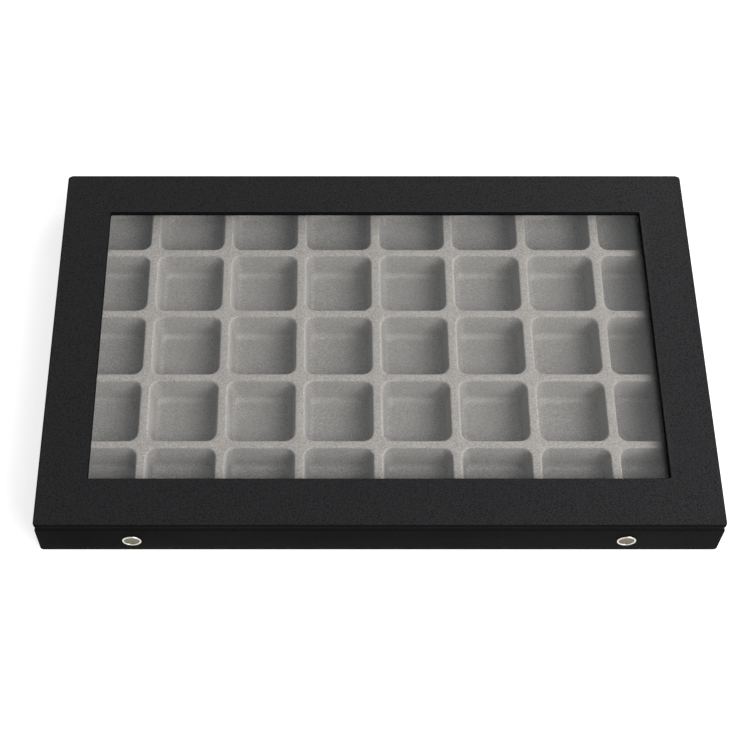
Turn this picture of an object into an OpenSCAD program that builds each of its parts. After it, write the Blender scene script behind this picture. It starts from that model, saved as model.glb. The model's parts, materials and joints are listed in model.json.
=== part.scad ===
// Flat ring display box: leatherette-covered base and hinged window lid,
// front flap on two press studs, loose flocked tray of moulded pockets.
// Millimetres. The origin is the middle of the underside, +X right, +Y to the back, +Z up.

/* [Case] */
// Overall width
case_w = 440; // [360:1:560]
// Overall depth, over the snap caps
case_d = 277.2; // [250:0.1:360]
// Overall height with the lid closed
case_h = 38; // [34:0.5:60]
// Radius of the case's upright corners
corner_r = 2.5; // [1.5:0.1:6]
// Radius of the covered edges of base and lid
edge_r = 1.2; // [0.8:0.05:1.8]

/* [Boards] */
// Thickness of the base's wall boards
wall_t = 3.5; // [3:0.1:6]
// Thickness of the bottom board
bottom_t = 3; // [2:0.1:5]
// Thickness of the lid's rail boards
rail_t = 3; // [2:0.1:4]
// Thickness of the flap board
flap_t = 2; // [1.5:0.1:3]

/* [Coverings] */
// Thickness of the leatherette
skin_t = 0.7; // [0.5:0.05:0.9]
// Thickness of the lining paper inside the base
liner_t = 0.5; // [0.3:0.05:0.7]
// Thickness of the sheet glued under the base
underlay_t = 0.5; // [0.3:0.1:1.5]
// Margin between that sheet's edge and the edge of the base
underlay_margin = 4; // [2:0.5:10]
// Width of leatherette folded under the bottom
fold_under = 12; // [8:1:20]
// Depth of leatherette folded down inside the base
fold_in = 9; // [6:0.5:14]

/* [Lid] */
// Width of the lid's rails, all four alike
rail_w = 32.5; // [26:0.5:45]
// Thickness of the window pane
pane_t = 1.2; // [1:0.1:2]
// Overlap of the pane behind the rails
pane_lap = 9; // [6:0.5:14]
// Thickness of the lined card that holds the pane
lining_t = 0.8; // [0.5:0.1:1.5]
// Distance from the window's edge to the edge of that card
lining_setback = 3; // [1:0.5:5]
// Radius of the covered edge round the window
wrap_r = 0.7; // [0.4:0.05:1]
// Clearance from the lid's inner frame to the walls that it drops between
step_gap = 4; // [2:0.5:6]

/* [Flap] */
// Height of the groove between lid and flap
groove_h = 2.4; // [2:0.1:4]
// Depth of the groove
groove_depth = 1; // [0.5:0.1:1.5]
// Height of the flap's lower edge above the table
flap_clear = 0.6; // [0.3:0.1:3]
// Width of leatherette folded behind the flap
flap_fold = 5; // [3:0.5:9]

/* [Press studs] */
// Distance from the middle of the case to each stud
snap_x = 159; // [90:1:190]
// Height of the studs above the table
snap_z = 16.5; // [12:0.5:24]
// Diameter of the cap
cap_d = 12.5; // [10:0.5:16]
// Height of the cap's rolled rim
cap_h = 1.2; // [0.9:0.1:2]
// Height of the cap's floor inside the rim
cap_floor_h = 0.5; // [0.3:0.05:0.7]
// Diameter of the socket
socket_d = 10; // [9:0.5:12]
// Height of the socket
socket_h = 2; // [1.8:0.1:3]
// Diameter of the socket's mouth
mouth_d = 5; // [4.6:0.1:6]
// Thickness of the socket's floor and of the lip round its mouth
socket_wall_t = 0.5; // [0.4:0.05:0.6]
// Radius of the ring spring's wire
wire_r = 0.25; // [0.15:0.05:0.25]
// Diameter of the stud's bulb
bulb_d = 3.8; // [3:0.1:4.1]
// Radius of the bulb's rounded edge
bulb_edge_r = 0.35; // [0.2:0.05:0.4]
// Diameter of the rivets' shanks
shank_d = 2.6; // [2:0.1:3]
// Diameter of the stud's flange and of the rivet's head inside the wall
flange_d = 8.5; // [7:0.5:10]
// Thickness of that flange
flange_t = 0.5; // [0.4:0.1:0.8]
// Height of the rolled end of the cap's shank
roll_h = 0.25; // [0.1:0.05:0.3]

/* [Tray] */
// Distance from one column of pockets to the next
pitch = 51.8; // [36:0.1:60]
// How much closer the rows stand than the columns
row_closer = 1.1; // [0:0.1:2]
// Width of the rib between two columns, below its shoulders
rib_w = 6.6; // [6:0.1:12]
// Least width of the tray's rim
rim_min = 1.5; // [1.5:0.1:8]
// How far the pockets sit in front of the middle of the tray
grid_shift = 1.4; // [0:0.1:1.4]
// Distance from the top of the lid down to the top of the tray
tray_drop = 10; // [8:0.5:14]
// Thickness of the tray below the pockets
tray_floor_t = 2; // [1:0.1:5]
// Radius of the pockets' corners seen from above
pocket_r = 7; // [4:0.5:10]
// Radius of the rib's shoulder
shoulder_r = 1.2; // [0.5:0.1:2]
// Radius between a pocket's wall and its floor
pocket_floor_r = 4.5; // [2:0.5:7]
// Angle at which a pocket's walls lean outwards
lean = 6.5; // [2:0.1:9]
// Radius of the tray's own corners
tray_corner_r = 4; // [2:0.5:10]

/* [Clearances] */
// Gap between the closed lid and the rim of the base
lid_gap = 0.3; // [0.2:0.05:0.6]
// Clearance round the loose tray
tray_gap = 0.4; // [0.3:0.1:1]
// Clearance round the pane and its spacer
pane_gap = 0.4; // [0.2:0.1:1]
// Clearance between moving parts of the press studs
snap_gap = 0.3; // [0.2:0.05:0.5]
// Radial clearance of a shank in its hole
shank_gap = 0.1; // [0.05:0.05:0.2]

/* [Hidden] */
$fn = 48;
over = 1; // how far a cut runs past the face it opens
bite = 0.01; // how far a round runs past the faces it joins, so that they cross
far = 2 * (case_w + case_d); // longer than anything in the case

// Depth planes from the front to the back
front_y = -case_d / 2 + cap_h;
flap_in_y = front_y + 2 * skin_t + flap_t;
lining_y = front_y + skin_t + flap_t + liner_t;
base_front_y = lining_y + socket_h + snap_gap + flange_t;
stud_h = base_front_y - lining_y - socket_wall_t - roll_h - snap_gap;
back_y = case_d / 2;
base_back_y = back_y - skin_t;

// Heights from the table up
base_z = underlay_t;
board_z = base_z + skin_t;
floor_z = board_z + bottom_t;
tray_z = floor_z + liner_t;
lid_low_z = case_h - 2 * skin_t - rail_t;
rail_z = lid_low_z + skin_t;
rail_top_z = rail_z + rail_t;
rim_z = lid_low_z - lid_gap;
wall_top_z = rim_z - skin_t;
fold_z = wall_top_z - fold_in;
pane_z = rail_z - pane_t;
lining_z = pane_z - lining_t;
flap_top_z = lid_low_z - groove_h;
tray_top_z = case_h - tray_drop;

// Rectangles seen from above, each as [left, front, right, back]
half_w = case_w / 2;
base_rect = [-half_w, base_front_y, half_w, base_back_y];
wall_rect = shrink(base_rect, skin_t);
room_rect = shrink(wall_rect, wall_t);
fold_rect = shrink(room_rect, skin_t);
lid_rect = [-half_w, front_y, half_w, base_back_y];
rail_rect = shrink(lid_rect, skin_t);
window_rect = [-half_w + rail_w, front_y + rail_w, half_w - rail_w, back_y - rail_w];
rail_hole = shrink(window_rect, -skin_t);
pane_rect = shrink(window_rect, -pane_lap);
step_rect = shrink(fold_rect, step_gap);
tray_rect = shrink(fold_rect, tray_gap);

// Pockets of the tray, as many as its rim leaves room for
tray_cols = floor((tray_rect[2] - tray_rect[0] - 2 * rim_min + rib_w) / pitch);
row_pitch = pitch - row_closer;
tray_rows = floor((tray_rect[3] - tray_rect[1] - 2 * rim_min + rib_w) / row_pitch);
grid_y = (tray_rect[1] + tray_rect[3]) / 2 - grid_shift;
pocket_z = tray_z + tray_floor_t;
pocket_h = tray_top_z - pocket_z;
reach = (pitch - rib_w) / 2 + shoulder_r; // from a pocket's middle to its edge at the top
core = reach - pocket_r; // from a pocket's middle to the centres of its corners

leatherette = "#232325";
board = "#b9a27c";
card = "#8d8b86";
lining = "#2b2b2e";
flock = "#96928e";
clear = [0.85, 0.92, 0.95, 0.25];
nickel = "#c9c9c6";

// Sides of a rectangle in the order of its mitred strips
FRONT = 0;
RIGHT = 1;
BACK = 2;
LEFT = 3;

function shrink(rect, by) = [rect[0] + by, rect[1] + by, rect[2] - by, rect[3] - by];
function corners(rect) = [
    [rect[0], rect[1]], [rect[2], rect[1]], [rect[2], rect[3]], [rect[0], rect[3]]
];

// A plain upright block over a rectangle
module block(rect, z_low, z_high) {
    translate([rect[0], rect[1], z_low])
        cube([rect[2] - rect[0], rect[3] - rect[1], z_high - z_low]);
}

// An upright frame between two rectangles
module frame(outer, inner, z_low, z_high) {
    difference() {
        block(outer, z_low, z_high);
        block(inner, z_low - over, z_high + over);
    }
}

// One mitred side of such a frame
module mitred_side(side, outer, inner, z_low, z_high) {
    next = (side + 1) % 4;
    translate([0, 0, z_low])
        linear_extrude(z_high - z_low)
            polygon([
                corners(outer)[side], corners(outer)[next],
                corners(inner)[next], corners(inner)[side]
            ]);
}

// A flat rectangle with round corners
module rounded(rect, r) {
    polygon(corners([rect[0] + r, rect[1], rect[2] - r, rect[3]]));
    polygon(corners([rect[0], rect[1] + r, rect[2], rect[3] - r]));
    for (corner = corners(shrink(rect, r)))
        translate(corner)
            circle(r);
}

// A covered block: round upright corners and round edges above and below
module covered_block(rect, z_low, z_high) {
    intersection() {
        translate([0, 0, z_low])
            linear_extrude(z_high - z_low)
                rounded(rect, corner_r);
        rotate([90, 0, 0])
            linear_extrude(far, center = true)
                rounded([rect[0], z_low, rect[2], z_high], edge_r);
        rotate([90, 0, 90])
            linear_extrude(far, center = true)
                rounded([rect[1], z_low, rect[3], z_high], edge_r);
    }
}

// Places a revolved piece with its axis along +Y, starting at a depth plane, at both studs
module at_snaps(y) {
    for (side = [-1, 1])
        translate([side * snap_x, y, snap_z])
            rotate([-90, 0, 0])
                children();
}

module base_underlay() {
    color(lining)
        block(shrink(base_rect, underlay_margin), 0, underlay_t);
}

module base_bottom_board() {
    color(board)
        block(wall_rect, board_z, floor_z);
}

module base_wall(side) {
    mitred_side(side, wall_rect, room_rect, floor_z, wall_top_z);
}

// The front wall is counterbored inside for the rivets' heads
module base_front_wall() {
    color(board)
        difference() {
            base_wall(FRONT);
            at_snaps(base_front_y - over)
                cylinder(r = shank_d / 2 + shank_gap, h = wall_t + 2 * over);
            at_snaps(room_rect[1] - flange_t)
                cylinder(r = flange_d / 2 + shank_gap, h = flange_t + over);
        }
}

module base_back_wall() {
    color(board)
        base_wall(BACK);
}

module base_left_wall() {
    color(board)
        base_wall(LEFT);
}

module base_right_wall() {
    color(board)
        base_wall(RIGHT);
}

// Leatherette over the outside, over the rim and down inside, and folded under the bottom
module base_cover() {
    color(leatherette) {
        difference() {
            covered_block(base_rect, base_z, rim_z);
            block(wall_rect, board_z, wall_top_z);
            block(fold_rect, floor_z, rim_z + over);
            block(shrink(base_rect, fold_under), base_z - over, floor_z);
            at_snaps(base_front_y - over)
                cylinder(r = shank_d / 2 + shank_gap, h = skin_t + 2 * over);
        }
        frame(room_rect, fold_rect, fold_z, wall_top_z);
    }
}

module base_floor_liner() {
    color(lining)
        block(room_rect, floor_z, tray_z);
}

module base_wall_liner() {
    color(lining)
        frame(room_rect, shrink(room_rect, liner_t), tray_z, fold_z);
}

// Half of a pocket's section, measured from the centre of its corner:
// round shoulder, straight leaning wall and round foot, tangent to each other
module half_section() {
    wall_h = pocket_h - (shoulder_r + pocket_floor_r) * (1 - sin(lean));
    fillet_x = pocket_r - (shoulder_r + pocket_floor_r) * cos(lean) - wall_h * tan(lean);
    intersection() {
        translate([-core, pocket_z])
            square([core + pocket_r, pocket_h + over]);
        union() {
            difference() {
                polygon([
                    [-core, pocket_z],
                    [fillet_x, pocket_z],
                    [fillet_x + pocket_floor_r * cos(lean), pocket_z + pocket_floor_r * (1 - sin(lean))],
                    [pocket_r - shoulder_r * cos(lean), tray_top_z - shoulder_r * (1 - sin(lean))],
                    [pocket_r, tray_top_z],
                    [pocket_r, tray_top_z + over],
                    [-core, tray_top_z + over]
                ]);
                translate([pocket_r, tray_top_z - shoulder_r])
                    circle(shoulder_r + bite);
            }
            translate([fillet_x, pocket_z + pocket_floor_r])
                circle(pocket_floor_r + bite);
        }
    }
}

// The section of a whole line of pockets
module section_line(count, step) {
    for (i = [0 : count - 1])
        translate([(i - (count - 1) / 2) * step, 0])
            for (flip = [0, 1])
                mirror([flip, 0])
                    translate([core, 0])
                        half_section();
}

// The pockets' outlines seen from above
module pocket_plan() {
    for (i = [0 : tray_cols - 1], j = [0 : tray_rows - 1])
        translate([(i - (tray_cols - 1) / 2) * pitch, (j - (tray_rows - 1) / 2) * row_pitch])
            rounded(shrink([-reach, -reach, reach, reach], -bite), pocket_r + bite);
}

// Every pocket is where a drafted column, a drafted row and a rounded outline meet
module pockets() {
    translate([0, grid_y, 0])
        intersection() {
            rotate([90, 0, 0])
                linear_extrude(tray_rows * row_pitch, center = true)
                    section_line(tray_cols, pitch);
            rotate([90, 0, 90])
                linear_extrude(tray_cols * pitch, center = true)
                    section_line(tray_rows, row_pitch);
            translate([0, 0, pocket_z])
                linear_extrude(pocket_h + over)
                    pocket_plan();
        }
}

module tray_insert() {
    color(flock)
        difference() {
            translate([0, 0, tray_z])
                linear_extrude(tray_top_z - tray_z)
                    rounded(tray_rect, tray_corner_r);
            pockets();
        }
}

// The stud's flange lies on the cover of the front wall, and its bulb points at the flap
module snap_studs() {
    bulb_r = bulb_d / 2;
    color(nickel)
        at_snaps(base_front_y)
            rotate([180, 0, 0])
                rotate_extrude() {
                    square([flange_d / 2, flange_t]);
                    square([bulb_r - bulb_edge_r, stud_h]);
                    intersection() {
                        translate([bulb_r - bulb_edge_r, stud_h - bulb_edge_r])
                            circle(bulb_edge_r);
                        square([bulb_r, stud_h]);
                    }
                }
}

module stud_rivets() {
    color(nickel) {
        at_snaps(base_front_y)
            cylinder(r = shank_d / 2, h = skin_t + wall_t);
        at_snaps(room_rect[1] - flange_t)
            cylinder(r = flange_d / 2, h = flange_t);
    }
}

module lid_rail(side) {
    mitred_side(side, rail_rect, rail_hole, rail_z, rail_top_z);
}

module lid_front_rail() {
    color(board)
        lid_rail(FRONT);
}

module lid_back_rail() {
    color(board)
        lid_rail(BACK);
}

module lid_left_rail() {
    color(board)
        lid_rail(LEFT);
}

module lid_right_rail() {
    color(board)
        lid_rail(RIGHT);
}

// Section of the window between two sides, with their upper edges rounded by the wrap
module window_section(low, high) {
    difference() {
        translate([low - wrap_r, lid_low_z - over])
            square([high - low + 2 * wrap_r, case_h - lid_low_z + 2 * over]);
        for (side = [low - wrap_r, high + wrap_r]) {
            translate([side, case_h - wrap_r])
                circle(wrap_r + bite);
            translate([side - wrap_r, lid_low_z - 2 * over])
                square([2 * wrap_r, case_h - wrap_r - lid_low_z + 2 * over]);
        }
    }
}

module window_cut() {
    intersection() {
        rotate([90, 0, 0])
            linear_extrude(far, center = true)
                window_section(window_rect[0], window_rect[2]);
        rotate([90, 0, 90])
            linear_extrude(far, center = true)
                window_section(window_rect[1], window_rect[3]);
    }
}

// Leatherette round the outside of the rails, down the window's edge and in under the rim
module lid_cover() {
    color(leatherette)
        difference() {
            covered_block(lid_rect, lid_low_z, case_h);
            frame(rail_rect, rail_hole, rail_z, rail_top_z);
            window_cut();
            block(shrink(step_rect, -pane_gap), lid_low_z - over, rail_z);
        }
}

module window_pane() {
    color(clear)
        block(pane_rect, pane_z, rail_z);
}

// Four mitred card strips fill the step round the pane
module pane_spacers() {
    color(card)
        for (side = [FRONT, RIGHT, BACK, LEFT])
            mitred_side(side, step_rect, shrink(pane_rect, -pane_gap), pane_z, rail_z);
}

// A lined card frame holds the pane and closes the underside of the lid
module lid_lining() {
    color(lining)
        frame(step_rect, shrink(window_rect, -lining_setback), lining_z, pane_z);
}

// The back strip is glued to the base and to the edge of the lid, and bends between them
module back_hinge() {
    color(leatherette)
        block(
            [-half_w + corner_r, base_back_y, half_w - corner_r, back_y],
            base_z + edge_r, case_h - edge_r
        );
}

module flap_board() {
    rect = [-half_w + skin_t, front_y + skin_t, half_w - skin_t, front_y + skin_t + flap_t];
    color(board)
        difference() {
            block(rect, flap_clear + skin_t, flap_top_z - skin_t);
            at_snaps(front_y)
                cylinder(r = shank_d / 2 + shank_gap, h = skin_t + flap_t + over);
        }
}

// Leatherette over the flap's face, round its edges and a little way behind it
module flap_cover() {
    rect = [-half_w, front_y, half_w, flap_in_y];
    color(leatherette)
        difference() {
            intersection() {
                block(rect, flap_clear, flap_top_z);
                rotate([90, 0, 0])
                    linear_extrude(far, center = true)
                        rounded([-half_w, flap_clear, half_w, flap_top_z], corner_r);
                rotate([90, 0, 90])
                    linear_extrude(far, center = true)
                        rounded([front_y, flap_clear, flap_in_y, flap_top_z], edge_r);
            }
            block(shrink(rect, skin_t), flap_clear + skin_t, flap_top_z - skin_t);
            block(
                [-half_w + flap_fold, flap_in_y - skin_t, half_w - flap_fold, flap_in_y + over],
                flap_clear + flap_fold, flap_top_z - flap_fold
            );
            at_snaps(front_y - over)
                cylinder(r = shank_d / 2 + shank_gap, h = skin_t + 2 * over);
        }
}

module flap_lining() {
    color(lining)
        difference() {
            block(
                [-half_w + flap_fold, lining_y - liner_t, half_w - flap_fold, lining_y],
                flap_clear + flap_fold, flap_top_z - flap_fold
            );
            at_snaps(front_y)
                cylinder(r = shank_d / 2 + shank_gap, h = skin_t + flap_t + liner_t + over);
        }
}

// The front strip hangs the flap from the lid at the bottom of the groove
module flap_hinge() {
    color(leatherette)
        block(
            [
                -half_w + corner_r, front_y + groove_depth,
                half_w - corner_r, front_y + groove_depth + skin_t
            ],
            flap_top_z, lid_low_z
        );
}

// A sunk cap with a rolled rim, and its shank through the flap into the socket
module snap_caps() {
    rim_r = cap_h / 2;
    color(nickel) {
        at_snaps(front_y)
            rotate([180, 0, 0])
                rotate_extrude() {
                    square([cap_d / 2 - rim_r, cap_floor_h]);
                    translate([cap_d / 2 - rim_r, rim_r])
                        circle(rim_r);
                }
        at_snaps(front_y)
            cylinder(r = shank_d / 2, h = lining_y - front_y + socket_wall_t);
        at_snaps(lining_y + socket_wall_t)
            cylinder(r = shank_d / 2 + 2 * shank_gap, h = roll_h);
    }
}

// The socket: a floor riveted to the flap, a round wall and a lip at its mouth
module snap_sockets() {
    color(nickel)
        at_snaps(lining_y)
            difference() {
                cylinder(r = socket_d / 2, h = socket_h);
                translate([0, 0, -over])
                    cylinder(r = shank_d / 2 + shank_gap, h = socket_h);
                translate([0, 0, socket_wall_t])
                    cylinder(r = mouth_d / 2 + wire_r + shank_gap, h = socket_h - 2 * socket_wall_t);
                translate([0, 0, socket_wall_t])
                    cylinder(r = mouth_d / 2, h = socket_h);
            }
}

// A ring spring lies behind the lip and grips the stud's bulb
module snap_springs() {
    color(nickel)
        at_snaps(lining_y + socket_h - socket_wall_t - wire_r)
            rotate_extrude()
                translate([mouth_d / 2, 0])
                    circle(wire_r);
}

base_underlay();
base_bottom_board();
base_front_wall();
base_back_wall();
base_left_wall();
base_right_wall();
base_cover();
base_floor_liner();
base_wall_liner();
tray_insert();
snap_studs();
stud_rivets();
lid_front_rail();
lid_back_rail();
lid_left_rail();
lid_right_rail();
lid_cover();
window_pane();
pane_spacers();
lid_lining();
back_hinge();
flap_board();
flap_cover();
flap_lining();
flap_hinge();
snap_caps();
snap_sockets();
snap_springs();
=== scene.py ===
"""Ring display box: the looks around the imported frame, in metres."""
import json
import math

import bmesh
import bpy
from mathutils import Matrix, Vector, noise


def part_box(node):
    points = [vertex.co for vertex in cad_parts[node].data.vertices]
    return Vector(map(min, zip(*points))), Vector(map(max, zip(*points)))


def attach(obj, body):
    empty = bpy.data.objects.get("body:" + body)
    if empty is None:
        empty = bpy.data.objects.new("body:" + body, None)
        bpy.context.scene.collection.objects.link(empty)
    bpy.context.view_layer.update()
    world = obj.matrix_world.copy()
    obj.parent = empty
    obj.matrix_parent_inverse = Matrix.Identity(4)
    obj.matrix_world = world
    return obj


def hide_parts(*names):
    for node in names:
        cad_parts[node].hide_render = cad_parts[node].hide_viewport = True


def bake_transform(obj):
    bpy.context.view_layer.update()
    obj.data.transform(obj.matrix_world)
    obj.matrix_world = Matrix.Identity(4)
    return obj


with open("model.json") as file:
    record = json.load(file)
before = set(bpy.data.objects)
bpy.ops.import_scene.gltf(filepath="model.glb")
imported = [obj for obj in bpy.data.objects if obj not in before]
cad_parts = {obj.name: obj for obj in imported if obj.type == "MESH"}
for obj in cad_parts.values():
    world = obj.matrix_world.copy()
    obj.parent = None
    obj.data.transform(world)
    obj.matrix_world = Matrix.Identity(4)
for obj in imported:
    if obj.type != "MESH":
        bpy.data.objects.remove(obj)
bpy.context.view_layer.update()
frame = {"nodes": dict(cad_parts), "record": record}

MM = 0.001

# Photograph's camera, solved from the lid's corners
CAMERA_AT = (-0.0305, -0.5769, 0.9926)
CAMERA_TILT = math.radians(31.891)
CAMERA_LENS = 79.2
CAMERA_SENSOR = 36
CAMERA_SHIFT = (0.0577, -0.0756)

# Studio: the side of each square lamp, the light all around, and the floor
LAMP_SIZE = 2.2
AROUND_STRENGTH = 0.03
FLOOR_REACH = 6.0
FLOOR_GREY = 0.5
FLOOR_LIFT = 0.83

# Boxes of the nodes that the new pieces are fitted to
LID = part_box("lid_cover")
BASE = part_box("base_cover")
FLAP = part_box("flap_cover")
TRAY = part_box("tray_insert")
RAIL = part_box("lid_front_rail")
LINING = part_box("lid_lining")
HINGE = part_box("back_hinge")
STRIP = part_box("flap_hinge")
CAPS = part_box("snap_caps")
SKIN = RAIL[0].z - LID[0].z


# Materials

# Places of the two colours and of the result on Blender's colour mix node
MIX_A, MIX_B, MIX_RESULT = 6, 7, 2


def srgb_grey(value, warm=0.0):
    """A linear grey from an sRGB value of 0 to 255, warmer or cooler by a share."""
    v = value / 255
    linear = v / 12.92 if v <= 0.04045 else ((v + 0.055) / 1.055) ** 2.4
    return (linear * (1 + warm), linear, linear * (1 - warm))


class Nodes:
    """A short way to build a material: textures, ramps, mixes and bumps each give an output socket."""

    def __init__(self, name):
        self.material = bpy.data.materials.new(name)
        self.material.use_nodes = True
        self.tree = self.material.node_tree
        self.tree.nodes.clear()
        out = self.add("ShaderNodeOutputMaterial")
        self.shader = self.add("ShaderNodeBsdfPrincipled")
        self.link(self.shader.outputs["BSDF"], out.inputs["Surface"])
        coordinates = self.add("ShaderNodeTexCoord")
        self.place = coordinates.outputs["Object"]
        self.facing = coordinates.outputs["Normal"]

    def add(self, kind, **values):
        node = self.tree.nodes.new(kind)
        for key, value in values.items():
            setattr(node, key, value)
        return node

    def link(self, source, target):
        self.tree.links.new(source, target)

    def axis(self, vector, letter):
        """One part of a vector: X, Y or Z."""
        node = self.add("ShaderNodeSeparateXYZ")
        self.link(vector, node.inputs["Vector"])
        return node.outputs[letter]

    def share(self, value, low, high):
        """Where a value lies between low and high, from 0 to 1."""
        node = self.add("ShaderNodeMapRange")
        node.inputs["From Min"].default_value = low
        node.inputs["From Max"].default_value = high
        self.link(value, node.inputs["Value"])
        return node.outputs["Result"]

    def noise(self, size, detail=2.0, rough=0.5, stretch=(1, 1, 1), shift=0.0):
        """Noise whose grains are about size metres across."""
        spread = self.add("ShaderNodeMapping")
        spread.inputs["Scale"].default_value = stretch
        spread.inputs["Location"].default_value = (shift, shift, shift)
        self.link(self.place, spread.inputs["Vector"])
        node = self.add("ShaderNodeTexNoise")
        node.inputs["Scale"].default_value = 1 / size
        node.inputs["Detail"].default_value = detail
        node.inputs["Roughness"].default_value = rough
        self.link(spread.outputs["Vector"], node.inputs["Vector"])
        return node.outputs["Fac"]

    def cells(self, size, feature="F1"):
        """Distance to the nearest of points about size metres apart."""
        node = self.add("ShaderNodeTexVoronoi", feature=feature)
        node.inputs["Scale"].default_value = 1 / size
        self.link(self.place, node.inputs["Vector"])
        return node.outputs["Distance"]

    def ramp(self, value, *stops):
        """Colours or greys at places from 0 to 1, each stop as (place, grey or red, green and blue)."""
        node = self.add("ShaderNodeValToRGB")
        ramp = node.color_ramp
        while len(ramp.elements) < len(stops):
            ramp.elements.new(0.5)
        for element, (place, colour) in zip(ramp.elements, stops):
            element.position = place
            element.color = (*colour, 1) if isinstance(colour, tuple) else (colour, colour, colour, 1)
        self.link(value, node.inputs["Fac"])
        return node.outputs["Color"]

    def blend(self, a, b, factor):
        """Colour a where the factor is 0, and b where it is 1."""
        node = self.add("ShaderNodeMix", data_type="RGBA")
        self.link(factor, node.inputs["Factor"])
        self.link(a, node.inputs[MIX_A])
        self.link(b, node.inputs[MIX_B])
        return node.outputs[MIX_RESULT]

    def product(self, a, b):
        """Colour a times colour b."""
        node = self.add("ShaderNodeMix", data_type="RGBA", blend_type="MULTIPLY")
        node.inputs["Factor"].default_value = 1.0
        self.link(a, node.inputs[MIX_A])
        self.link(b, node.inputs[MIX_B])
        return node.outputs[MIX_RESULT]

    def bump(self, value, height, under=None):
        """The normal over a relief of the given height, on top of another one if given."""
        node = self.add("ShaderNodeBump")
        node.inputs["Distance"].default_value = height
        self.link(value, node.inputs["Height"])
        if under is not None:
            self.link(under, node.inputs["Normal"])
        return node.outputs["Normal"]

    def drive(self, **sockets):
        """Joins output sockets to the shader's inputs."""
        for key, socket in sockets.items():
            self.link(socket, self.shader.inputs[key.replace("_", " ")])

    def set(self, **values):
        """Sets the shader's inputs that are the same all over."""
        for key, value in values.items():
            self.shader.inputs[key.replace("_", " ")].default_value = value


def leatherette():
    """Black pebbled leatherette, painted as a lit copy where it faces up (cooler, glossy) and a shaded copy
    on its sides (warmer, almost matt).
    """
    m = Nodes("leatherette")
    pebbles = m.cells(0.85 * MM, feature="SMOOTH_F1")
    mottle = m.noise(0.8 * MM, detail=3.0, rough=0.7)
    broad = m.noise(60 * MM, shift=3.0)
    # painted light and shade: faces that point up take the lit tone and strong gloss, the sides the shaded
    # tone and almost no gloss
    up = m.ramp(m.axis(m.facing, "Z"), (0.90, 0.0), (0.985, 1.0))
    top = m.ramp(mottle, (0.3, srgb_grey(8, -0.02)), (0.7, srgb_grey(17, -0.03)))
    side = m.ramp(mottle, (0.3, srgb_grey(14, 0.02)), (0.7, srgb_grey(25, 0.02)))
    lit_top_gloss = m.ramp(pebbles, (0.1, 0.28), (0.75, 0.08))
    painted_shade = m.ramp(broad, (0.3, 0.006), (0.7, 0.011))
    soft = m.bump(broad, 0.5 * MM)
    fold = m.bump(mottle, 0.10 * MM, under=soft)
    grain = m.bump(pebbles, 0.12 * MM, under=fold)
    # the blends by facing paint light on the tops and shade on the sides
    m.drive(
        Base_Color=m.blend(side, top, up),
        Specular_IOR_Level=m.blend(painted_shade, lit_top_gloss, up),
        Roughness=m.ramp(pebbles, (0.1, 0.5), (0.7, 0.62)),
        Normal=grain,
    )
    m.set(Specular_Tint=(0.93, 0.94, 1.0, 1))
    return m.material


def flock():
    """Warm grey short flock: fine fibres and brushed patches, darkened and cooled down into the pockets as
    painted shade, so the rib tops stay lighter.
    """
    m = Nodes("flock")
    shade_depth = 20 * MM
    fibre = m.noise(0.35 * MM, detail=4.0, rough=0.75)
    speck = m.noise(1.1 * MM, detail=3.0, rough=0.7, shift=2.0)
    brushed = m.noise(14 * MM, shift=5.0)
    # painted shade: the colour darkens and cools from the rib tops down to the pocket floors
    height = m.share(m.axis(m.place, "Z"), TRAY[1].z - shade_depth, TRAY[1].z)
    tone = m.ramp(speck, (0.30, srgb_grey(126, 0.07)), (0.70, srgb_grey(178, 0.07)))
    patch = m.ramp(brushed, (0.3, 0.93), (0.7, 1.0))
    painted_pocket_shade = m.ramp(height, (0.0, (0.84, 0.86, 0.88)), (0.85, (0.93, 0.95, 0.97)), (1.0, 1.0))
    nap = m.bump(fibre, 0.09 * MM, under=m.bump(speck, 0.10 * MM))
    m.drive(
        Base_Color=m.product(m.product(tone, patch), painted_pocket_shade),
        Roughness=m.ramp(fibre, (0.2, 0.45), (0.8, 0.65)),
        Normal=nap,
    )
    m.set(Sheen_Weight=0.15, Sheen_Roughness=0.45, Specular_IOR_Level=0.35)
    return m.material


def lining():
    """Matt black paper cloth with a fine crossed weave."""
    m = Nodes("lining")
    warp = m.noise(0.5 * MM, rough=0.6, stretch=(1, 0.08, 1))
    weft = m.noise(0.5 * MM, rough=0.6, stretch=(0.08, 1, 1), shift=4.0)
    weave = m.bump(weft, 0.06 * MM, under=m.bump(warp, 0.06 * MM))
    m.drive(
        Base_Color=m.ramp(warp, (0.3, srgb_grey(34)), (0.7, srgb_grey(46))),
        Roughness=m.ramp(weft, (0.3, 0.8), (0.7, 0.95)),
        Normal=weave,
    )
    m.set(Specular_IOR_Level=0.2)
    return m.material


def board():
    """Pale brown fibre board with pressed fibres and flecks."""
    m = Nodes("board")
    fibres = m.noise(3 * MM, detail=4.0, rough=0.65, stretch=(0.4, 1, 1))
    flecks = m.cells(1.6 * MM)
    m.drive(
        Base_Color=m.ramp(fibres, (0.25, (0.36, 0.25, 0.14)), (0.75, (0.56, 0.43, 0.27))),
        Roughness=m.ramp(flecks, (0.1, 0.75), (0.8, 0.9)),
        Normal=m.bump(fibres, 0.1 * MM),
    )
    return m.material


def card():
    """Grey card with a short fibre."""
    m = Nodes("card")
    fibres = m.noise(1.2 * MM, detail=4.0, rough=0.7, stretch=(0.5, 1, 1))
    cloud = m.noise(12 * MM)
    m.drive(
        Base_Color=m.ramp(fibres, (0.3, (0.22, 0.21, 0.195)), (0.7, (0.31, 0.30, 0.28))),
        Roughness=m.ramp(cloud, (0.3, 0.8), (0.7, 0.95)),
        Normal=m.bump(fibres, 0.05 * MM),
    )
    return m.material


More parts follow.
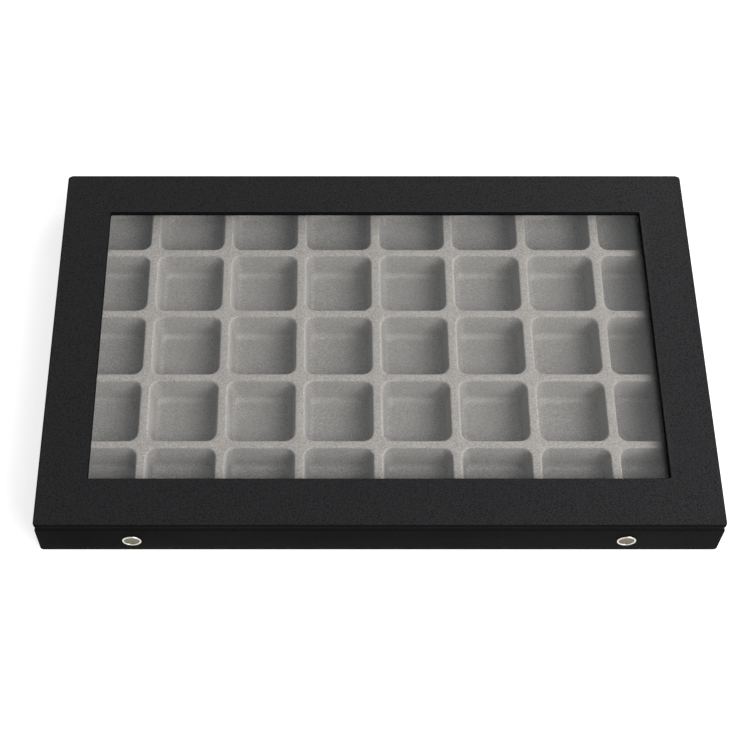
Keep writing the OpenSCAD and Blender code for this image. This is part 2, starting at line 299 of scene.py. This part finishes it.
def clear_pane():
    """Clear polished sheet: nearly all light passes, with a faint film of dust."""
    m = Nodes("clear_pane")
    dust = m.noise(2 * MM, detail=4.0, rough=0.7)
    smear = m.noise(50 * MM, stretch=(0.4, 1, 1))
    m.drive(
        Alpha=m.ramp(dust, (0.45, 0.035), (0.8, 0.06)),
        Roughness=m.ramp(smear, (0.3, 0.04), (0.7, 0.09)),
    )
    m.set(Base_Color=(0.8, 0.84, 0.85, 1), Specular_IOR_Level=0.5)
    return m.material


def nickel(name="nickel", crest=None):
    """Bright plated press studs, faintly rubbed; behind a crest the colour is darkened to a brownish grey
    as painted shade, over the dish and the rim's sides.
    """
    m = Nodes(name)
    rub = m.noise(0.6 * MM, detail=3.0, rough=0.6)
    haze = m.noise(3 * MM, shift=1.0)
    tone = m.ramp(haze, (0.3, (0.62, 0.59, 0.53)), (0.7, (0.74, 0.72, 0.67)))
    if crest is not None:
        fade = 0.8 * MM
        # painted shade: darker and brownish from the crest back over the dish and the rim's sides
        shaded_share = m.share(m.axis(m.place, "Y"), crest, crest + fade)
        painted_shade = m.ramp(shaded_share, (0.3, 1.0), (0.75, (0.17, 0.15, 0.10)))
        tone = m.product(tone, painted_shade)
    m.drive(
        Base_Color=tone,
        Roughness=m.ramp(rub, (0.3, 0.14), (0.7, 0.26)),
        Normal=m.bump(rub, 0.01 * MM),
    )
    m.set(Metallic=1.0)
    return m.material


MATERIALS = {
    "leatherette": leatherette(),
    "flock": flock(),
    "lining": lining(),
    "board": board(),
    "card": card(),
    "pane": clear_pane(),
    "nickel": nickel(),
}


def dress_cad_nodes():
    """Every node gets the material of its slot in the record."""
    for part in frame["record"]["subparts"]:
        data = frame["nodes"][part["node"]].data
        data.materials.clear()
        data.materials.append(MATERIALS[part["material_slot"]])


# Mesh helpers

SHARP = math.radians(40)
MERGE = 0.001 * MM
CORNER_STEPS = 6


def new_piece(name, points, faces, slot):
    """A mesh object with the material of a slot, smooth but for its sharp edges."""
    mesh = bpy.data.meshes.new(name)
    mesh.from_pydata(points, [], faces)
    bm = bmesh.new()
    bm.from_mesh(mesh)
    bmesh.ops.remove_doubles(bm, verts=bm.verts, dist=MERGE)
    bmesh.ops.recalc_face_normals(bm, faces=bm.faces)
    bm.to_mesh(mesh)
    bm.free()
    mesh.shade_smooth()
    mesh.set_sharp_from_angle(angle=SHARP)
    mesh.materials.append(MATERIALS[slot])
    piece = bpy.data.objects.new(name, mesh)
    bpy.context.scene.collection.objects.link(piece)
    return piece


def skinned(loops, start=0, closed=False):
    """Faces between successive loops of equal length, and from the last to the first if closed."""
    count = len(loops[0])
    faces = []
    pairs = len(loops) if closed else len(loops) - 1
    for k in range(pairs):
        a = start + k * count
        b = start + (k + 1) % len(loops) * count
        for i in range(count):
            j = (i + 1) % count
            faces.append((a + i, a + j, b + j, b + i))
    return faces


def capped(loops):
    """Points and faces of successive loops, with a face over the first and the last one."""
    points = [p for loop in loops for p in loop]
    count = len(loops[0])
    ends = [tuple(range(count)), tuple(range(len(points) - count, len(points)))]
    return points, skinned(loops) + ends


def ring(rect, radius, corner_steps=CORNER_STEPS, side_steps=(1, 1)):
    """Points round a rectangle [left, front, right, back], anticlockwise; one radius or one per corner."""
    left, front, right, back = rect
    radii = list(radius) if isinstance(radius, (list, tuple)) else [radius] * 4
    signs = [(1, -1), (1, 1), (-1, 1), (-1, -1)]
    sides = [(right, front), (right, back), (left, back), (left, front)]
    quarter = math.radians(90)
    arcs = []
    for corner, ((x, y), (sx, sy), r) in enumerate(zip(sides, signs, radii)):
        start = quarter * (corner - 1)
        steps = [start + quarter * i / corner_steps for i in range(corner_steps + 1)]
        arcs.append([(x - sx * r + r * math.cos(a), y - sy * r + r * math.sin(a)) for a in steps])
    points = []
    for corner, arc in enumerate(arcs):
        points.extend(arc)
        goal = arcs[(corner + 1) % 4][0]
        steps = side_steps[(corner + 1) % 2]
        points.extend(tuple(between(arc[-1], goal, i / steps)) for i in range(1, steps))
    return points


def grown(rect, by):
    return [rect[0] - by, rect[1] - by, rect[2] + by, rect[3] + by]


def between(a, b, t):
    """The numbers of a, each moved a part t of the way to its partner in b."""
    return [p + (q - p) * t for p, q in zip(a, b)]


def level(loop, z):
    return [(x, y, z) for x, y in loop]


def upright(loop, y):
    return [(x, y, z) for x, z in loop]


def turn(radius, first, last, steps):
    """Points (across, up) on an arc round its centre, with its ends in degrees."""
    angles = [math.radians(first + (last - first) * i / steps) for i in range(steps + 1)]
    return [(radius * math.cos(a), radius * math.sin(a)) for a in angles]


def flat_rect(box):
    return [box[0].x, box[0].y, box[1].x, box[1].y]


# Tray of moulded pockets: places from the record's openings, sizes as in the frame
openings = frame["record"]["physics"]["openings"]
pocket_boxes = [o["box_m"] for o in openings if o["name"].startswith("pocket")]
pocket_xs = sorted({round((b[0][0] + b[1][0]) / 2, 6) for b in pocket_boxes})
pocket_ys = sorted({round((b[0][1] + b[1][1]) / 2, 6) for b in pocket_boxes})
PITCH = pocket_xs[1] - pocket_xs[0]
ROW_PITCH = pocket_ys[1] - pocket_ys[0]
pocket_ys.append(pocket_ys[-1] + ROW_PITCH)
RIB = 6.6 * MM
SHOULDER_R = 1.2 * MM
FOOT_R = 4.5 * MM
POCKET_R = 7 * MM
POCKET_FOOT_R = 5 * MM
LEAN = math.radians(6.5)
POCKET_FLOOR = 2 * MM
TRAY_CORNER = 4 * MM
SHOULDER_STEPS = 6
WALL_STEPS = 5
FOOT_STEPS = 8
POCKET_CORNER_STEPS = 8
POCKET_SIDE_STEPS = (6, 6)


def pocket_profile():
    """The section from the rib's top down to the floor, as (distance in from the pocket's edge, height)."""
    top = TRAY[1].z
    low = TRAY[0].z + POCKET_FLOOR
    bend = math.radians(90) - LEAN
    points = []
    for i in range(SHOULDER_STEPS + 1):
        a = bend * i / SHOULDER_STEPS
        points.append((SHOULDER_R * math.sin(a), top - SHOULDER_R * (1 - math.cos(a))))
    wall_in, wall_top = points[-1]
    wall_h = top - low - (SHOULDER_R + FOOT_R) * (1 - math.sin(LEAN))
    wall_w = wall_h * math.tan(LEAN)
    for i in range(1, WALL_STEPS):
        points.append((wall_in + wall_w * i / WALL_STEPS, wall_top - wall_h * i / WALL_STEPS))
    foot_in = wall_in + wall_w
    for i in range(FOOT_STEPS + 1):
        a = bend * (1 - i / FOOT_STEPS)
        points.append((foot_in + FOOT_R * (math.cos(LEAN) - math.sin(a)), low + FOOT_R * (1 - math.cos(a))))
    return points


def make_tray():
    """Loops shrink from each cell's edge over the shoulder and down the wall to the pocket's floor."""
    steps = (POCKET_CORNER_STEPS, POCKET_SIDE_STEPS)
    reach = (PITCH - RIB) / 2 + SHOULDER_R
    profile = pocket_profile()
    depth = profile[-1][0]
    points, faces = [], []
    last_x, last_y = len(pocket_xs) - 1, len(pocket_ys) - 1
    for i, cx in enumerate(pocket_xs):
        for j, cy in enumerate(pocket_ys):
            cell = [
                TRAY[0].x if i == 0 else cx - PITCH / 2,
                TRAY[0].y if j == 0 else cy - ROW_PITCH / 2,
                TRAY[1].x if i == last_x else cx + PITCH / 2,
                TRAY[1].y if j == last_y else cy + ROW_PITCH / 2,
            ]
            corners = [(last_x, 0), (last_x, last_y), (0, last_y), (0, 0)]
            radii = [TRAY_CORNER if (i, j) == corner else 0.0 for corner in corners]
            edge = [cx - reach, cy - reach, cx + reach, cy + reach]
            loops = [level(ring(cell, radii, *steps), TRAY[1].z)]
            for inset, z in profile:
                radius = POCKET_R + (POCKET_FOOT_R - POCKET_R) * inset / depth
                loops.append(level(ring(grown(edge, -inset), radius, *steps), z))
            start = len(points)
            for loop in loops:
                points.extend(loop)
            faces.extend(skinned(loops, start))
            end = start + (len(loops) - 1) * len(loops[0])
            faces.append(tuple(range(end, end + len(loops[0]))))
    piece = new_piece("tray_flocked", points, faces, "flock")
    close_below(piece.data, TRAY[0].z)
    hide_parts("tray_insert")
    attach(piece, "base")


def close_below(mesh, z):
    """Runs the mesh's open edge straight down to a height and closes it there."""
    bm = bmesh.new()
    bm.from_mesh(mesh)
    rim = [e for e in bm.edges if e.is_boundary]
    made = bmesh.ops.extrude_edge_only(bm, edges=rim)["geom"]
    for v in made:
        if isinstance(v, bmesh.types.BMVert):
            v.co.z = z
    low = [e for e in made if isinstance(e, bmesh.types.BMEdge) and e.is_boundary]
    bmesh.ops.holes_fill(bm, edges=low, sides=0)
    bmesh.ops.recalc_face_normals(bm, faces=bm.faces)
    bm.to_mesh(mesh)
    bm.free()
    mesh.set_sharp_from_angle(angle=SHARP)


# Covered boards, sizes as in the frame; the window's roundings, the padding and the wave are extra
CORNER_R = 2.5 * MM
EDGE_R = 1.2 * MM
WINDOW_EDGE_R = 0.7 * MM
WINDOW_CORNER_R = 1.2 * MM
RIM_CORNER_R = 0.4 * MM
FOLD_CORNER_R = 0.3 * MM
RAIL_W = 32.5 * MM
WALL_T = 3.5 * MM
FOLD_IN = 9 * MM
FOLD_UNDER = 12 * MM
FLAP_FOLD = 5 * MM
PANE_GAP = 0.4 * MM
PADDING = 1.0 * MM
WAVE_SIZE = 45 * MM
WAVE_H = 0.12 * MM
WAVE_SLICE = 0.37
LID_SIDE_STEPS = (60, 36)
BASE_SIDE_STEPS = (40, 24)
FLAP_SIDE_STEPS = (48, 4)
LID_EDGE_STEPS = 6
EDGE_STEPS = 5
RIM_EDGE_STEPS = 4
LID_STRIPS = 6
WALL_STRIPS = 5


def soft_wave(point, top):
    """The point, let down by a smooth unevenness if it lies in the top face; the same in every run."""
    x, y, z = point
    if z <= top - 0.01 * MM:
        return point
    swell = noise.noise(Vector((x / WAVE_SIZE, y / WAVE_SIZE, WAVE_SLICE)))
    return (x, y, z - WAVE_H * (0.5 + 0.5 * swell))


def closed_shell(name, rings, node, body):
    """A skin of leatherette whose section is a closed line of rings."""
    points = [p for loop in rings for p in loop]
    piece = new_piece(name, points, skinned(rings, closed=True), "leatherette")
    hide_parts(node)
    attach(piece, body)


def make_lid_cover():
    """Leatherette over the lid's rails, softly uneven on top, down the window's edge and in below."""
    outer = flat_rect(LID)
    window = [
        outer[0] + RAIL_W,
        outer[1] + RAIL_W + PADDING,
        outer[2] - RAIL_W,
        HINGE[1].y - RAIL_W - PADDING / 2,
    ]
    step = grown(flat_rect(LINING), PANE_GAP)
    top, low, rail_low, rail_top = LID[1].z, LID[0].z, RAIL[0].z, RAIL[1].z
    rings = []

    def add(rect, radius, z):
        rings.append(level(ring(rect, radius, side_steps=LID_SIDE_STEPS), z))

    add(window, WINDOW_CORNER_R, rail_low)
    for across, up in turn(WINDOW_EDGE_R, 180, 90, EDGE_STEPS):
        past = WINDOW_EDGE_R + across
        add(grown(window, past), WINDOW_CORNER_R + past, top - WINDOW_EDGE_R + up)
    near, away = grown(window, WINDOW_EDGE_R), grown(outer, -EDGE_R)
    near_r, away_r = WINDOW_CORNER_R + WINDOW_EDGE_R, CORNER_R - EDGE_R
    for i in range(1, LID_STRIPS):
        add(between(near, away, i / LID_STRIPS), near_r + (away_r - near_r) * i / LID_STRIPS, top)
    for across, up in turn(EDGE_R, 90, 0, LID_EDGE_STEPS):
        add(grown(away, across), away_r + across, top - EDGE_R + up)
    for across, up in turn(EDGE_R, 0, -90, LID_EDGE_STEPS):
        add(grown(away, across), away_r + across, low + EDGE_R + up)
    add(step, FOLD_CORNER_R, low)
    add(step, FOLD_CORNER_R, rail_low)
    add(grown(outer, -SKIN), FOLD_CORNER_R, rail_low)
    add(grown(outer, -SKIN), CORNER_R - SKIN, rail_top)
    add(grown(window, SKIN), FOLD_CORNER_R, rail_top)
    add(grown(window, SKIN), FOLD_CORNER_R, rail_low)
    rings = [[soft_wave(point, top) for point in loop] for loop in rings]
    closed_shell("lid_leatherette", rings, "lid_cover", "lid")


def make_base_cover():
    """Leatherette up the base's walls, over the rim and down inside, and folded under the bottom."""
    outer = flat_rect(BASE)
    wall = grown(outer, -SKIN)
    room = grown(wall, -WALL_T)
    fold = grown(room, -SKIN)
    low, rim = BASE[0].z, BASE[1].z
    fold_low = rim - SKIN - FOLD_IN
    core, core_r = grown(outer, -EDGE_R), CORNER_R - EDGE_R
    rings = []

    def add(rect, radius, z):
        rings.append(level(ring(rect, radius, side_steps=BASE_SIDE_STEPS), z))

    add(fold, FOLD_CORNER_R, fold_low)
    for across, up in turn(WINDOW_EDGE_R, 180, 90, RIM_EDGE_STEPS):
        add(grown(fold, WINDOW_EDGE_R + across), RIM_CORNER_R, rim - WINDOW_EDGE_R + up)
    for across, up in turn(EDGE_R, 90, 0, EDGE_STEPS):
        add(grown(core, across), core_r + across, rim - EDGE_R + up)
    for i in range(1, WALL_STRIPS):
        add(outer, CORNER_R, rim - EDGE_R + (low + 2 * EDGE_R - rim) * i / WALL_STRIPS)
    for across, up in turn(EDGE_R, 0, -90, EDGE_STEPS):
        add(grown(core, across), core_r + across, low + EDGE_R + up)
    add(grown(outer, -FOLD_UNDER), FOLD_CORNER_R, low)
    add(grown(outer, -FOLD_UNDER), FOLD_CORNER_R, low + SKIN)
    add(wall, CORNER_R - SKIN, low + SKIN)
    add(wall, CORNER_R - SKIN, rim - SKIN)
    add(room, FOLD_CORNER_R, rim - SKIN)
    add(room, FOLD_CORNER_R, fold_low)
    closed_shell("base_leatherette", rings, "base_cover", "base")


def make_flap_cover():
    """Leatherette over the flap's face and edges, folded a little way behind it."""
    face = [FLAP[0].x, FLAP[0].z, FLAP[1].x, FLAP[1].z]
    front, back = FLAP[0].y, FLAP[1].y
    core, core_r = grown(face, -EDGE_R), CORNER_R - EDGE_R
    rings = []

    def add(rect, radius, y):
        rings.append(upright(ring(rect, radius, side_steps=FLAP_SIDE_STEPS), y))

    for across, up in turn(EDGE_R, 90, 0, EDGE_STEPS):
        add(grown(core, across), core_r + across, front + EDGE_R - up)
    for across, up in turn(EDGE_R, 0, -90, EDGE_STEPS):
        add(grown(core, across), core_r + across, back - EDGE_R - up)
    add(grown(face, -FLAP_FOLD), FOLD_CORNER_R, back)
    add(grown(face, -FLAP_FOLD), FOLD_CORNER_R, back - SKIN)
    add(grown(face, -SKIN), CORNER_R - SKIN, back - SKIN)
    add(grown(face, -SKIN), CORNER_R - SKIN, front + SKIN)
    piece = new_piece("flap_leatherette", *capped(rings), "leatherette")
    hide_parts("flap_cover")
    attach(piece, "flap")


# Strips of leatherette at the joints
STRIP_COLUMNS = 24
FOLD_REACH = 1.2 * MM
FOLD_ROWS = 16
BELOW_ROWS = 4
ABOVE_ROWS = 3
FLAP_ROWS = 12


def rows_between(low, high, count):
    """Places from low to high in count equal steps, with both ends."""
    return [low + (high - low) * i / count for i in range(count + 1)]


def bending_strip(name, box, heights, node):
    """A straight strip with rows at the given heights."""
    xs = rows_between(box[0].x, box[1].x, STRIP_COLUMNS)
    loop = [(x, box[0].y) for x in xs] + [(x, box[1].y) for x in reversed(xs)]
    piece = new_piece(name, *capped([level(loop, z) for z in heights]), "leatherette")
    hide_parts(node)
    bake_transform(piece)


def make_hinges():
    """The back strip between base and lid has its rows close together across the fold; the front one
    between flap and lid has even rows.
    """
    fold = (BASE[1].z + LID[0].z) / 2
    low, high = fold - FOLD_REACH, fold + FOLD_REACH
    below = rows_between(HINGE[0].z, low, BELOW_ROWS)[:-1]
    above = rows_between(high, HINGE[1].z, ABOVE_ROWS)[1:]
    heights = below + rows_between(low, high, FOLD_ROWS) + above
    bending_strip("back_strip", HINGE, heights, "back_hinge")
    heights = rows_between(STRIP[0].z, STRIP[1].z, FLAP_ROWS)
    bending_strip("front_strip", STRIP, heights, "flap_hinge")


# The caps of the press studs: rim, dish and shank; the two shares are parts of a height
CAP_D = 12.5 * MM
CAP_H = 1.2 * MM
CAP_UNDERCUT = 0.1 * MM
RIM_CREST = 5.5 * MM
RIM_FOOT = 4.7 * MM
RIM_SIDE_SHARE = 0.35
DISH_H = 0.55 * MM
DISH_MIDDLE_SHARE = 0.8
SHANK_R = 1.3 * MM
DISH_STEPS = 6
RIM_STEPS = 6
CREST_STEPS = 8
CAP_STEPS = 64


def cap_profile():
    """From the middle of the dish over the rolled rim, and back along the shank, as (radius, height)."""
    points = []
    for i in range(DISH_STEPS + 1):
        t = i / DISH_STEPS
        rise = DISH_MIDDLE_SHARE + (1 - DISH_MIDDLE_SHARE) * t ** 2
        points.append((RIM_FOOT * t, DISH_H * rise))
    for i in range(1, RIM_STEPS + 1):
        t = i / RIM_STEPS
        rise = math.sin(t * math.pi / 2) ** 2
        points.append((RIM_FOOT + (RIM_CREST - RIM_FOOT) * t, DISH_H + (CAP_H - DISH_H) * rise))
    outer = CAP_D / 2 - RIM_CREST
    for i in range(1, CREST_STEPS + 1):
        a = math.pi / 2 * i / CREST_STEPS
        fall = RIM_SIDE_SHARE + (1 - RIM_SIDE_SHARE) * math.cos(a)
        points.append((RIM_CREST + outer * math.sin(a), CAP_H * fall))
    points.append((CAP_D / 2 - CAP_UNDERCUT, 0.0))
    points.append((SHANK_R, 0.0))
    points.append((SHANK_R, CAPS[0].y + CAP_H - CAPS[1].y))
    return points


def make_caps():
    """Both caps, revolved round their shanks."""
    face_y = CAPS[0].y + CAP_H
    snap_x = CAPS[1].x - CAP_D / 2
    snap_z = (CAPS[0].z + CAPS[1].z) / 2
    turns = [2 * math.pi * i / CAP_STEPS for i in range(CAP_STEPS)]
    points, faces = [], []
    for side in (-1, 1):
        start = len(points)
        loops = []
        for radius, height in cap_profile():
            circle = [(side * snap_x + radius * math.cos(a), snap_z + radius * math.sin(a)) for a in turns]
            loops.append(upright(circle, face_y - height))
        for loop in loops:
            points.extend(loop)
        faces.extend(skinned(loops, start))
        faces.append(tuple(range(len(points) - CAP_STEPS, len(points))))
    piece = new_piece("cap_shells", points, faces, "nickel")
    # the caps' material has painted shade behind the rim's crest
    piece.data.materials[0] = nickel("nickel_caps_shaded", CAPS[0].y)
    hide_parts("snap_caps")
    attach(piece, "flap")


# Camera, floor and light

def make_camera():
    data = bpy.data.cameras.new("camera")
    data.lens = CAMERA_LENS
    data.sensor_width = CAMERA_SENSOR
    data.shift_x, data.shift_y = CAMERA_SHIFT
    camera = bpy.data.objects.new("camera", data)
    camera.location = CAMERA_AT
    camera.rotation_euler = (CAMERA_TILT, 0, 0)
    bpy.context.scene.collection.objects.link(camera)
    bpy.context.scene.camera = camera


def make_lamp(name, at, power):
    """A broad square lamp that faces the origin."""
    data = bpy.data.lights.new(name, "AREA")
    data.shape = "RECTANGLE"
    data.size = data.size_y = LAMP_SIZE
    data.energy = power
    lamp = bpy.data.objects.new(name, data)
    lamp.location = at
    lamp.rotation_euler = (-Vector(at)).to_track_quat("-Z", "Y").to_euler()
    bpy.context.scene.collection.objects.link(lamp)


def seen_rays(tree):
    """An output that gives 1 on camera, glossy and transmission rays, and 0 on the rest."""
    rays = tree.nodes.new("ShaderNodeLightPath")
    seen = rays.outputs["Is Camera Ray"]
    for kind in ("Is Glossy Ray", "Is Transmission Ray"):
        either = tree.nodes.new("ShaderNodeMath")
        either.operation = "MAXIMUM"
        tree.links.new(seen, either.inputs[0])
        tree.links.new(rays.outputs[kind], either.inputs[1])
        seen = either.outputs[0]
    return seen


def make_world():
    """Faint light all around; a backdrop that is seen, also in a gloss or through the pane, is white."""
    world = bpy.data.worlds.new("studio")
    bpy.context.scene.world = world
    world.use_nodes = True
    tree = world.node_tree
    tree.nodes.clear()
    out = tree.nodes.new("ShaderNodeOutputWorld")
    mix = tree.nodes.new("ShaderNodeMixShader")
    around = tree.nodes.new("ShaderNodeBackground")
    around.inputs["Color"].default_value = (1, 1, 1, 1)
    around.inputs["Strength"].default_value = AROUND_STRENGTH
    backdrop = tree.nodes.new("ShaderNodeBackground")
    backdrop.inputs["Color"].default_value = (1, 1, 1, 1)
    backdrop.inputs["Strength"].default_value = 1.0
    tree.links.new(seen_rays(tree), mix.inputs[0])
    tree.links.new(around.outputs[0], mix.inputs[1])
    tree.links.new(backdrop.outputs[0], mix.inputs[2])
    tree.links.new(mix.outputs[0], out.inputs["Surface"])


def floor_material():
    """Grey for the light; seen directly, in a gloss or through the pane it is lifted to white."""
    material = bpy.data.materials.new("floor")
    material.use_nodes = True
    tree = material.node_tree
    tree.nodes.clear()
    out = tree.nodes.new("ShaderNodeOutputMaterial")
    both = tree.nodes.new("ShaderNodeAddShader")
    pale = tree.nodes.new("ShaderNodeBsdfDiffuse")
    pale.inputs["Color"].default_value = (FLOOR_GREY, FLOOR_GREY, FLOOR_GREY, 1)
    lift = tree.nodes.new("ShaderNodeEmission")
    lift.inputs["Color"].default_value = (1, 1, 1, 1)
    strength = tree.nodes.new("ShaderNodeMath")
    strength.operation = "MULTIPLY"
    strength.inputs[1].default_value = FLOOR_LIFT
    tree.links.new(seen_rays(tree), strength.inputs[0])
    tree.links.new(strength.outputs[0], lift.inputs["Strength"])
    tree.links.new(pale.outputs[0], both.inputs[0])
    tree.links.new(lift.outputs[0], both.inputs[1])
    tree.links.new(both.outputs[0], out.inputs["Surface"])
    return material


def make_floor():
    """Plain pale floor that keeps the box's shadow."""
    mesh = bpy.data.meshes.new("floor")
    far = FLOOR_REACH
    mesh.from_pydata(level([(-far, -far), (far, -far), (far, far), (-far, far)], 0), [], [(0, 1, 2, 3)])
    mesh.materials.append(floor_material())
    floor = bpy.data.objects.new("floor", mesh)
    bpy.context.scene.collection.objects.link(floor)


make_camera()
make_world()
make_floor()
make_lamp("key", (1.6, -1.6, 2.26), 99)
make_lamp("low_key", (2.05, -2.05, 1.35), 25)
make_lamp("back", (2.05, 2.05, 1.35), 66)
make_lamp("side", (2.9, 0, 1.35), 9)
bpy.context.scene.view_settings.view_transform = "Standard"

dress_cad_nodes()
make_tray()
make_lid_cover()
make_base_cover()
make_flap_cover()
make_hinges()
make_caps()
